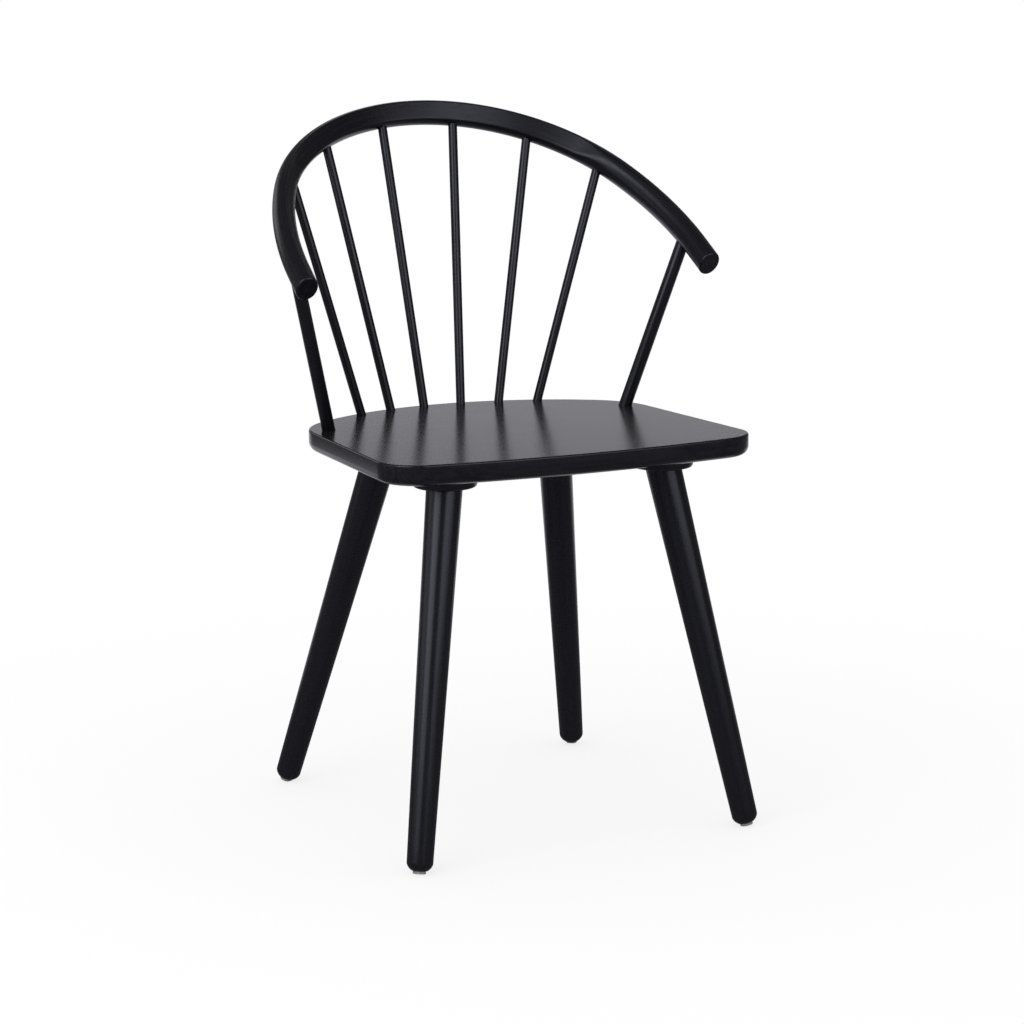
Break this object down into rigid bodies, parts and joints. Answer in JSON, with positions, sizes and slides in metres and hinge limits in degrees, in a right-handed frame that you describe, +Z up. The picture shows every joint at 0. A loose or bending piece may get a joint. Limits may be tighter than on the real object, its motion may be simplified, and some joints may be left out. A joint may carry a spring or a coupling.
{
  "type": "spindle-back chair",
  "caption": "Armless dining chair: solid seat plate on splayed round tapered legs, low back of one bent bow open to the front on thin straight rods.",
  "frame": {"origin": "on the floor, under the middle of the chair's outside box", "axes": "+Z up, -Y to the front of the chair, where a sitter faces; X = 0 is the plane of symmetry, with the pieces named left on -X"},
  "size_m": [0.5284, 0.4706, 0.8082],
  "materials": {
    "seat_lacquer": "satin black lacquer over wood",
    "bow_lacquer": "satin black lacquer, grain showing faintly",
    "leg_lacquer": "satin black lacquer",
    "rod_paint": "satin black powder coat",
    "glide_plastic": "matte grey",
    "zinc_steel": "zinc plated"
  },
  "bodies": {
    "root": {"seat": "seat_lacquer", "back_bow": "bow_lacquer", "spindle_left_1": "rod_paint", "spindle_left_2": "rod_paint", "spindle_left_3": "rod_paint", "spindle_right_1": "rod_paint", "spindle_right_2": "rod_paint", "spindle_right_3": "rod_paint", "end_post_left": "rod_paint", "end_post_right": "rod_paint", "leg_front_left": "leg_lacquer", "leg_front_right": "leg_lacquer", "leg_back_left": "leg_lacquer", "leg_back_right": "leg_lacquer", "leg_block_front_left": "leg_lacquer", "leg_block_front_right": "leg_lacquer", "leg_block_back_left": "leg_lacquer", "leg_block_back_right": "leg_lacquer", "glide_front_left": "glide_plastic", "glide_front_right": "glide_plastic", "glide_back_left": "glide_plastic", "glide_back_right": "glide_plastic", "leg_bolt_front_left": "zinc_steel", "leg_bolt_front_right": "zinc_steel", "leg_bolt_back_left": "zinc_steel", "leg_bolt_back_right": "zinc_steel", "leg_insert_front_left": "zinc_steel", "leg_insert_front_right": "zinc_steel", "leg_insert_back_left": "zinc_steel", "leg_insert_back_right": "zinc_steel", "block_screw_front_left_1": "zinc_steel", "block_screw_front_left_2": "zinc_steel", "block_screw_front_right_1": "zinc_steel", "block_screw_front_right_2": "zinc_steel", "block_screw_back_left_1": "zinc_steel", "block_screw_back_left_2": "zinc_steel", "block_screw_back_right_1": "zinc_steel", "block_screw_back_right_2": "zinc_steel"}
  },
  "joints": []
}
